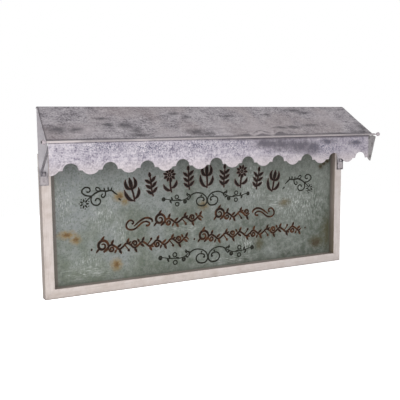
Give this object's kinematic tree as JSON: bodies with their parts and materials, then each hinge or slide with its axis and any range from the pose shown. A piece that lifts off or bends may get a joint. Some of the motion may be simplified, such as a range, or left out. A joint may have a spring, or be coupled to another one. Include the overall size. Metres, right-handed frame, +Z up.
{
  "type": "framed wall sign with a sheet-metal awning",
  "caption": "Long framed wall sign with a recessed painted panel, under a small sloping sheet-metal awning with a scalloped valance and a rod with ball finials.",
  "frame": {"origin": "middle of the top rail's back face, where the sign lies towards the wall", "axes": "+X along the sign to the viewer's right, +Y into the wall, +Z up; the sign faces -Y"},
  "size_m": [0.9618, 0.1548, 0.4616],
  "materials": {
    "whitewashed_fir": "worn matt whitewash",
    "painted_panel": "satin, weathered",
    "limewashed_zinc": "matt, mottled",
    "limewashed_valance": "matt, streaked",
    "limewashed_strap": "matt, worn at the edges",
    "dark_rod": "dark, lightly rusted",
    "rivet_steel": "limewashed over",
    "aged_screw_steel": "lightly rusted",
    "pin_steel": "bright",
    "zinc_hanger": "zinc plated",
    "bumper_rubber": "matt"
  },
  "bodies": {
    "sign": {"top_rail": "whitewashed_fir", "bottom_rail": "whitewashed_fir", "left_stile": "whitewashed_fir", "right_stile": "whitewashed_fir", "top_left_v_nail": "pin_steel", "top_right_v_nail": "pin_steel", "bottom_left_v_nail": "pin_steel", "bottom_right_v_nail": "pin_steel", "sign_panel": "painted_panel", "top_pin_1": "pin_steel", "top_pin_2": "pin_steel", "top_pin_3": "pin_steel", "top_pin_4": "pin_steel", "top_pin_5": "pin_steel", "bottom_pin_1": "pin_steel", "bottom_pin_2": "pin_steel", "bottom_pin_3": "pin_steel", "bottom_pin_4": "pin_steel", "bottom_pin_5": "pin_steel", "left_pin_1": "pin_steel", "left_pin_2": "pin_steel", "right_pin_1": "pin_steel", "right_pin_2": "pin_steel", "awning_roof": "limewashed_zinc", "awning_valance": "limewashed_valance", "back_rod": "dark_rod", "left_strap": "limewashed_strap", "right_strap": "limewashed_strap", "left_stay": "limewashed_strap", "right_stay": "limewashed_strap", "left_strap_rivet": "rivet_steel", "right_strap_rivet": "rivet_steel", "left_stay_rivet": "rivet_steel", "right_stay_rivet": "rivet_steel", "left_lower_strap_screw": "aged_screw_steel", "right_lower_strap_screw": "aged_screw_steel", "left_upper_strap_screw": "aged_screw_steel", "right_upper_strap_screw": "aged_screw_steel", "left_stay_screw": "aged_screw_steel", "right_stay_screw": "aged_screw_steel", "left_hanger_plate": "zinc_hanger", "right_hanger_plate": "zinc_hanger", "left_hanger_screw": "zinc_hanger", "right_hanger_screw": "zinc_hanger", "left_bumper": "bumper_rubber", "right_bumper": "bumper_rubber"},
    "front_rod": {"front_rod": "dark_rod", "left_ball_finial": "dark_rod", "right_ball_finial": "dark_rod"},
    "left_ring": {"left_hanger_ring": "zinc_hanger"},
    "right_ring": {"right_hanger_ring": "zinc_hanger"}
  },
  "joints": [
    {"name": "rod_slide", "type": "slide", "parent": "sign", "child": "front_rod", "axis": [1, 0, 0], "range_m": [-0.0086, 0.0018]},
    {"name": "left_ring_swing", "type": "hinge", "parent": "sign", "child": "left_ring", "pos_m": [-0.442, 0.0026, -0.018], "axis": [1, 0, 0], "range_deg": [0, 180]},
    {"name": "right_ring_swing", "type": "hinge", "parent": "sign", "child": "right_ring", "pos_m": [0.442, 0.0026, -0.018], "axis": [1, 0, 0], "range_deg": [0, 180]}
  ]
}
